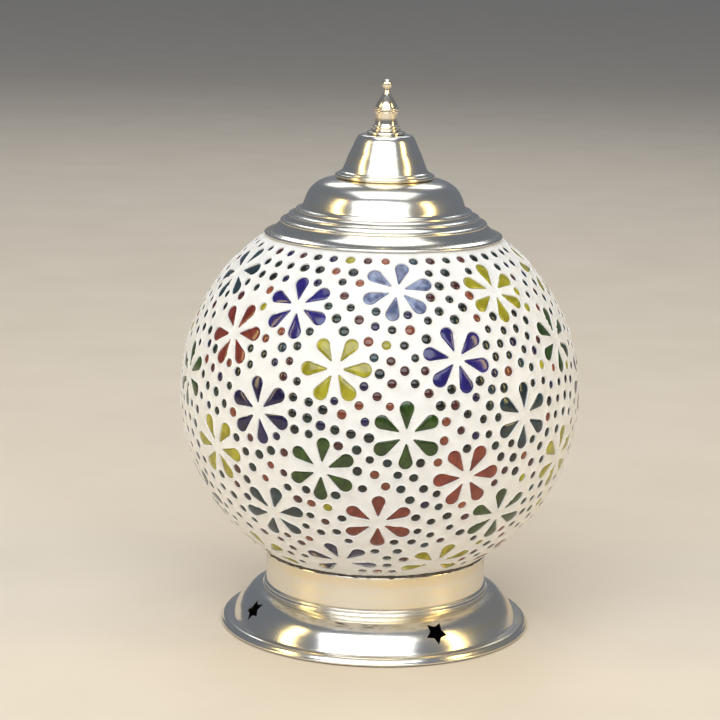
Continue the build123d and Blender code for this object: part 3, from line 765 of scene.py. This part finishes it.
index_of = {s: i for i, s in enumerate(source) if s is not None}
BACK_STEPS = 10
back_start = len(wavy)
for step in range(BACK_STEPS + 1):
    tilt = HIGH_TILT + (LOW_TILT - HIGH_TILT) * step / BACK_STEPS
    wavy += [on_globe(math.tau * i / EDGE_COUNT, tilt, BACK_RISE * MM) for i in range(EDGE_COUNT)]
loops = [[index_of[high_start + i] for i in range(EDGE_COUNT)]]
loops += [[back_start + EDGE_COUNT * k + i for i in range(EDGE_COUNT)] for k in range(BACK_STEPS + 1)]
loops += [[index_of[low_start + i] for i in range(EDGE_COUNT)]]
for one, two in zip(loops, loops[1:]):
    for i in range(EDGE_COUNT):
        j = (i + 1) % EDGE_COUNT
        faces.append((one[i], one[j], two[j], two[i]))

skin = bpy.data.meshes.new("plaster_skin")
skin.from_pydata([tuple(p) for p in wavy], [], faces)
plaster = bpy.data.objects.new("mosaic_plaster_skin", skin)
bpy.context.scene.collection.objects.link(plaster)
clear_selection()
plaster.select_set(True)
bpy.context.view_layer.objects.active = plaster
bpy.ops.object.mode_set(mode="EDIT")
bpy.ops.mesh.select_all(action="SELECT")
bpy.ops.mesh.delete_loose()
bpy.ops.mesh.select_all(action="SELECT")
bpy.ops.mesh.normals_make_consistent(inside=False)
bpy.ops.object.mode_set(mode="OBJECT")
finish_piece(plaster, "mosaic_plaster", "lamp", plaster_white, 50)

# %% [markdown]
# ## The cement and a painted shadow line under the globe
# The globe is set in the collar with cement. A dark bead of it round the collar's top edge stands for the
# shadow in the gap between collar and globe: painted shade.
# A thin torus is pushed in and out with noise, so the dark line it leaves is ragged, as by hand.

# %% Lay the dark bead that paints the gap's shadow
# A dark bead round the collar's top edge: a painted shadow of the gap between collar and globe.
SHADOW_BEAD_R, SHADOW_BEAD_Z, SHADOW_BEAD_THICK = 55.6 * MM, 39.05 * MM, 0.85 * MM
LUMPS, CRUMBS = (1.3, 260), (0.6, 900)      # strength and noise scale
THINNEST = 0.35
clear_selection()
bpy.ops.mesh.primitive_torus_add(
    location=(0, 0, SHADOW_BEAD_Z), major_radius=SHADOW_BEAD_R, minor_radius=SHADOW_BEAD_THICK,
    major_segments=240, minor_segments=8
)
shadow_line_bead = bpy.context.object
shadow_line_bead.name = shadow_line_bead.data.name = "painted_gap_shadow_bead"
clear_selection()
shadow_line_bead.select_set(True)
bpy.context.view_layer.objects.active = shadow_line_bead
bpy.ops.object.transform_apply(location=True)
for vertex in shadow_line_bead.data.vertices:
    turn = math.atan2(vertex.co.y, vertex.co.x)
    core = Vector((SHADOW_BEAD_R * math.cos(turn), SHADOW_BEAD_R * math.sin(turn), SHADOW_BEAD_Z))
    swell = 1 + LUMPS[0] * noise.noise(core * LUMPS[1]) + CRUMBS[0] * noise.noise(vertex.co * CRUMBS[1])
    vertex.co = core + (vertex.co - core) * max(THINNEST, swell)
bpy.ops.object.shade_smooth_by_angle(angle=math.radians(50))
shadow_line_bead.data.materials.append(cement_and_gap_shade)
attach(shadow_line_bead, "lamp")
print(shadow_line_bead.name, len(shadow_line_bead.data.polygons), "faces")

# %% [markdown]
# ## Petals and beads
# Each chip is ground by hand, so its face is domed like a small cabochon and catches the light.
# One petal and one bead are modelled: an outline, drawn up, then stepped in and up to the crown.
# They are then laid over the globe at every place that was read, each with its own size.

# %% Model one petal and one bead
class Pattern:
    """The plain drawing that every chip of a kind is cut from."""

    def __init__(self, kind):
        self.kind, self.grow, self.slim = kind, 1.0, 1.0

    outline = Chip.outline


def crowned_chip(kind, centre, steps):
    """One chip in millimetres: its wall, then steps of (shrink, rise) up to its crown."""
    clear_selection()
    outline = Pattern(kind).outline(0.0)
    bpy.ops.mesh.primitive_circle_add(vertices=len(outline), radius=1, fill_type="NGON")
    piece = bpy.context.object
    for vertex, (u, v) in zip(piece.data.vertices, outline):
        vertex.co = (u, v, CHIP_FOOT)
    bpy.ops.object.mode_set(mode="EDIT")
    bpy.ops.mesh.select_all(action="SELECT")
    for shrink, rise in steps:
        bpy.ops.mesh.extrude_region_move(TRANSFORM_OT_translate={"value": (0, 0, rise)})
        bpy.ops.transform.resize(value=(shrink, shrink, 1), center_override=centre)
    bpy.ops.mesh.select_all(action="SELECT")
    bpy.ops.mesh.normals_make_consistent(inside=False)
    bpy.ops.object.mode_set(mode="OBJECT")
    drawing = [vertex.co.copy() for vertex in piece.data.vertices]
    sides = [tuple(face.vertices) for face in piece.data.polygons]
    bpy.data.objects.remove(piece)
    print("one", kind, len(sides), "faces")
    return drawing, sides


CHIP_FOOT = -0.95      # under the globe's face, in the bottom of the pocket
PETAL_CROWN = (2.6, 0, 0)
PETAL_STEPS = [(1.0, 0.83), (0.93, 0.13), (0.80, 0.15), (0.50, 0.10)]
BEAD_STEPS = [(1.0, 0.83), (0.88, 0.17), (0.70, 0.18), (0.45, 0.09)]
cut = {
    "petal": crowned_chip("petal", PETAL_CROWN, PETAL_STEPS),
    "bead": crowned_chip("bead", (0, 0, 0), BEAD_STEPS),
}

# %% Lay every chip in its pocket
for node, found in chips.items():
    points, chip_faces = [], []
    for chip in found:
        drawing, sides = cut[chip.kind]
        start = len(points)
        slim = chip.slim if chip.kind == "bead" else 1.0
        points += [chip.at(p.x * chip.grow * slim, p.y * chip.grow, p.z) for p in drawing]
        chip_faces += [tuple(start + i for i in side) for side in sides]
    mesh = bpy.data.meshes.new(node + "_cut")
    mesh.from_pydata([tuple(p) for p in points], [], chip_faces)
    group = bpy.data.objects.new(node + "_cut", mesh)
    bpy.context.scene.collection.objects.link(group)
    colour = node.split("_")[1]
    finish_piece(group, node, "lamp", chip_finish[colour], 60)

# %% [markdown]
# ## Floor and light
# A pale floor and big soft lamps, as in a small product studio.
# Polished metal shows only what stands round it, so the lamps are shaped for their reflections:
# a wide window in front, a ceiling overhead, a warm strip on each side for golden streaks,
# and dim air between them for the dark flanks.

# %% Lay the floor and hang the lights
clear_selection()
bpy.ops.mesh.primitive_plane_add(size=24.0, location=(0, 0, 0))
floor = bpy.context.object
floor.name = "studio_floor"
floor.data.materials.append(
    grainy("pale_floor", (0.78, 0.68, 0.55), (0.82, 0.72, 0.59), 12.0, (0.5, 0.6), 0.05)
)


def soft_light(name, place, size, power, colour):
    """A rectangular area light, `size` wide and high, aimed at the middle of the globe."""
    bpy.ops.object.light_add(type="AREA", location=place)
    light = bpy.context.object
    light.name = name
    light.data.shape = "RECTANGLE"
    light.data.size, light.data.size_y = size
    light.data.energy = power
    light.data.color = colour
    aim = Vector((0, 0, GLOBE_MID)) - Vector(place)
    light.rotation_euler = aim.to_track_quat("-Z", "Y").to_euler()


soft_light("window_light", (-0.25, -2.1, 1.75), (3.6, 1.7), 62, (0.93, 0.97, 1.0))
soft_light("ceiling_light", (0.0, 0.0, 2.3), (1.9, 1.5), 16, (0.93, 0.97, 1.0))
soft_light("left_strip", (-2.0, -0.55, 1.0), (0.4, 1.5), 12, (1.0, 0.76, 0.32))
soft_light("right_strip", (2.0, -0.65, 1.0), (0.4, 1.5), 13, (1.0, 0.74, 0.29))
soft_light("back_light", (0.0, 2.1, 1.7), (1.6, 0.7), 9, (0.94, 0.97, 1.0))
world = bpy.data.worlds.new("studio_air")
world.use_nodes = True
world.node_tree.nodes["Background"].inputs["Color"].default_value = (0.46, 0.51, 0.60, 1)
world.node_tree.nodes["Background"].inputs["Strength"].default_value = 0.36
bpy.context.scene.world = world
bpy.context.scene.view_settings.view_transform = "Standard"
print("lit")
